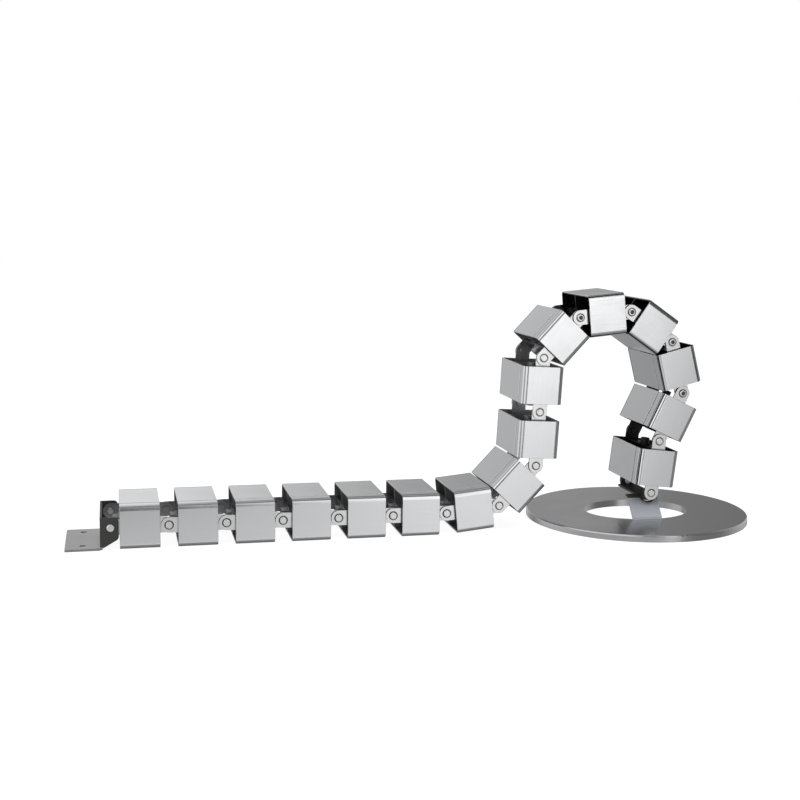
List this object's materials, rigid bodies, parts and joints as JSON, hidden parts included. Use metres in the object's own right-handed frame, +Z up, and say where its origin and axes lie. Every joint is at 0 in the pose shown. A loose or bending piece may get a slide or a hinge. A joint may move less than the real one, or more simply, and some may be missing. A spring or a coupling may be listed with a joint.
{
  "type": "cable spine",
  "caption": "Jointed spine of open square metal links that leads cables from a weighted floor ring up to a bracket under a desk.",
  "frame": {"origin": "centre of the floor ring's underside, at floor level", "axes": "+Z up; -X along the row, from the ring towards the desk bracket; Y along the hinge axes, with the bracket's foot on the -Y side"},
  "size_m": [0.6448, 0.212, 0.2204],
  "materials": {
    "cover_aluminium": "brushed, clear anodised",
    "profile_aluminium": "brushed, clear anodised",
    "hinge_steel": "satin",
    "ring_steel": "satin",
    "bracket_steel": "satin",
    "desk_bracket_steel": "satin",
    "screw_steel": "plain"
  },
  "bodies": {
    "base": {"floor_ring": "ring_steel", "base_bracket": "bracket_steel", "base_foot_screws": "screw_steel", "base_hinge_rivets": "hinge_steel"},
    "link_01": {"link_01_profile": "profile_aluminium", "link_01_covers": "cover_aluminium", "link_01_hinge_frame": "hinge_steel"},
    "link_02": {"link_02_profile": "profile_aluminium", "link_02_covers": "cover_aluminium", "link_02_hinge_frame": "hinge_steel"},
    "link_03": {"link_03_profile": "profile_aluminium", "link_03_covers": "cover_aluminium", "link_03_hinge_frame": "hinge_steel"},
    "link_04": {"link_04_profile": "profile_aluminium", "link_04_covers": "cover_aluminium", "link_04_hinge_frame": "hinge_steel"},
    "link_05": {"link_05_profile": "profile_aluminium", "link_05_covers": "cover_aluminium", "link_05_hinge_frame": "hinge_steel"},
    "link_06": {"link_06_profile": "profile_aluminium", "link_06_covers": "cover_aluminium", "link_06_hinge_frame": "hinge_steel"},
    "link_07": {"link_07_profile": "profile_aluminium", "link_07_covers": "cover_aluminium", "link_07_hinge_frame": "hinge_steel"},
    "link_08": {"link_08_profile": "profile_aluminium", "link_08_covers": "cover_aluminium", "link_08_hinge_frame": "hinge_steel"},
    "link_09": {"link_09_profile": "profile_aluminium", "link_09_covers": "cover_aluminium", "link_09_hinge_frame": "hinge_steel"},
    "link_10": {"link_10_profile": "profile_aluminium", "link_10_covers": "cover_aluminium", "link_10_hinge_frame": "hinge_steel"},
    "link_11": {"link_11_profile": "profile_aluminium", "link_11_covers": "cover_aluminium", "link_11_hinge_frame": "hinge_steel"},
    "link_12": {"link_12_profile": "profile_aluminium", "link_12_covers": "cover_aluminium", "link_12_hinge_frame": "hinge_steel"},
    "link_13": {"link_13_profile": "profile_aluminium", "link_13_covers": "cover_aluminium", "link_13_hinge_frame": "hinge_steel"},
    "link_14": {"link_14_profile": "profile_aluminium", "link_14_covers": "cover_aluminium", "link_14_hinge_frame": "hinge_steel"},
    "link_15": {"link_15_profile": "profile_aluminium", "link_15_covers": "cover_aluminium", "link_15_hinge_frame": "hinge_steel"},
    "link_16": {"link_16_profile": "profile_aluminium", "link_16_covers": "cover_aluminium", "link_16_hinge_frame": "hinge_steel"},
    "desk_end": {"desk_bracket": "desk_bracket_steel", "desk_hinge_rivets": "hinge_steel"}
  },
  "joints": [
    {"name": "base_hinge", "type": "hinge", "parent": "base", "child": "link_01", "pos_m": [0, -0.006, 0.03043], "axis": [0, -1, 0], "range_deg": [-36, 16]},
    {"name": "hinge_01_02", "type": "hinge", "parent": "link_01", "child": "link_02", "pos_m": [0.00566, -0.006, 0.08011], "axis": [0, 1, 0], "range_deg": [-10, 23.5]},
    {"name": "hinge_02_03", "type": "hinge", "parent": "link_02", "child": "link_03", "pos_m": [0.02719, -0.006, 0.12524], "axis": [0, -1, 0], "range_deg": [-82.5, 2.5]},
    {"name": "hinge_03_04", "type": "hinge", "parent": "link_03", "child": "link_04", "pos_m": [0.01467, -0.006, 0.17365], "axis": [0, 1, 0], "range_deg": [-1.5, 83.5]},
    {"name": "hinge_04_05", "type": "hinge", "parent": "link_04", "child": "link_05", "pos_m": [-0.02654, -0.006, 0.20197], "axis": [0, -1, 0], "range_deg": [-82.5, 2.5]},
    {"name": "hinge_05_06", "type": "hinge", "parent": "link_05", "child": "link_06", "pos_m": [-0.07631, -0.006, 0.19718], "axis": [0, 1, 0], "range_deg": [-1, 84]},
    {"name": "hinge_06_07", "type": "hinge", "parent": "link_06", "child": "link_07", "pos_m": [-0.11041, -0.006, 0.16061], "axis": [0, -1, 0], "range_deg": [-82.5, 2.5]},
    {"name": "hinge_07_08", "type": "hinge", "parent": "link_07", "child": "link_08", "pos_m": [-0.11303, -0.006, 0.11068], "axis": [0, 1, 0], "range_deg": [-25, 42.5]},
    {"name": "hinge_08_09", "type": "hinge", "parent": "link_08", "child": "link_09", "pos_m": [-0.11564, -0.006, 0.06075], "axis": [0, -1, 0], "range_deg": [-2, 49]},
    {"name": "hinge_09_10", "type": "hinge", "parent": "link_09", "child": "link_10", "pos_m": [-0.15006, -0.006, 0.02448], "axis": [0, 1, 0], "range_deg": [-83, 2]},
    {"name": "hinge_10_11", "type": "hinge", "parent": "link_10", "child": "link_11", "pos_m": [-0.19979, -0.006, 0.01925], "axis": [0, -1, 0], "range_deg": [-36.5, 48.5]},
    {"name": "hinge_11_12", "type": "hinge", "parent": "link_11", "child": "link_12", "pos_m": [-0.24979, -0.006, 0.01925], "axis": [0, 1, 0], "range_deg": [-42.5, 42.5]},
    {"name": "hinge_12_13", "type": "hinge", "parent": "link_12", "child": "link_13", "pos_m": [-0.29979, -0.006, 0.01925], "axis": [0, -1, 0], "range_deg": [-42.5, 42.5]},
    {"name": "hinge_13_14", "type": "hinge", "parent": "link_13", "child": "link_14", "pos_m": [-0.34979, -0.006, 0.01925], "axis": [0, 1, 0], "range_deg": [-42.5, 42.5]},
    {"name": "hinge_14_15", "type": "hinge", "parent": "link_14", "child": "link_15", "pos_m": [-0.39979, -0.006, 0.01925], "axis": [0, -1, 0], "range_deg": [-42.5, 42.5]},
    {"name": "hinge_15_16", "type": "hinge", "parent": "link_15", "child": "link_16", "pos_m": [-0.44979, -0.006, 0.01925], "axis": [0, 1, 0], "range_deg": [-42.5, 42.5]},
    {"name": "desk_hinge", "type": "hinge", "parent": "link_16", "child": "desk_end", "pos_m": [-0.49979, -0.006, 0.01925], "axis": [0, -1, 0], "range_deg": [-40, 40]}
  ]
}
